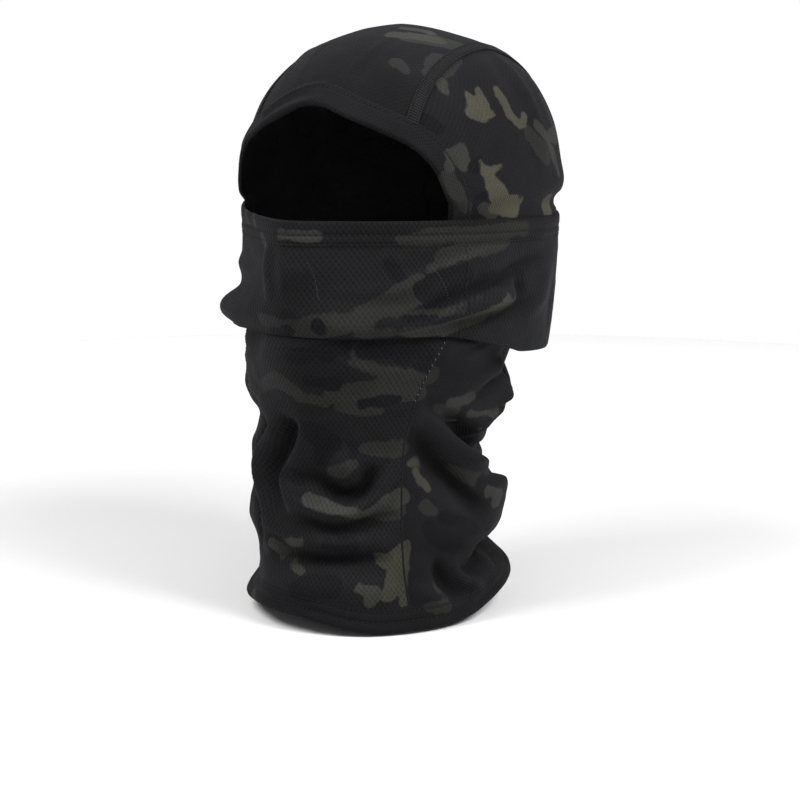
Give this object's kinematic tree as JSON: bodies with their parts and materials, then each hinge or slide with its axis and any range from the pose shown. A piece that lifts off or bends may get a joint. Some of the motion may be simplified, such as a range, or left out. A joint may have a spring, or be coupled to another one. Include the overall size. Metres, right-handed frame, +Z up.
{
  "type": "full-face camouflage knit hood",
  "caption": "Camouflage balaclava: snug panelled hood with a bound face opening, a ring-shaped pull-up face cover over the nose, and a long stitched neck tube.",
  "frame": {"origin": "centre of the head space inside the hood, level with the face cover's top edge in front", "axes": "+Z up along the wearer's head, the face looks towards -Y, +X to the wearer's left"},
  "size_m": [0.1729, 0.224, 0.3215],
  "materials": {
    "camo_mesh_knit": "matt dark camouflage mesh knit",
    "camo_fine_knit": "matt dark camouflage fine knit",
    "camo_hem": "turned and stitched knit edge",
    "seam_thread": "black thread"
  },
  "bodies": {
    "root": {"crown_panel": "camo_fine_knit", "hood_side_panel_left": "camo_fine_knit", "hood_side_panel_right": "camo_fine_knit", "crown_seam_left": "seam_thread", "crown_seam_right": "seam_thread", "face_opening_binding": "camo_hem", "face_opening_stitch": "seam_thread", "hood_neck_seam": "seam_thread", "neck_front_panel": "camo_mesh_knit", "neck_back_panel": "camo_fine_knit", "neck_seam_left": "seam_thread", "neck_seam_right": "seam_thread", "bottom_hem": "camo_hem", "bottom_hem_stitch_upper": "seam_thread", "bottom_hem_stitch_lower": "seam_thread"},
    "face_cover": {"face_cover_front_panel": "camo_mesh_knit", "face_cover_back_panel": "camo_fine_knit", "face_cover_seam_left": "seam_thread", "face_cover_seam_right": "seam_thread", "face_cover_top_hem": "camo_hem", "top_hem_stitch_upper": "seam_thread", "top_hem_stitch_lower": "seam_thread"}
  },
  "joints": [
    {"name": "face_cover_slide", "type": "slide", "parent": "root", "child": "face_cover", "axis": [0, 0, -1], "range_m": [0, 0.09]}
  ]
}
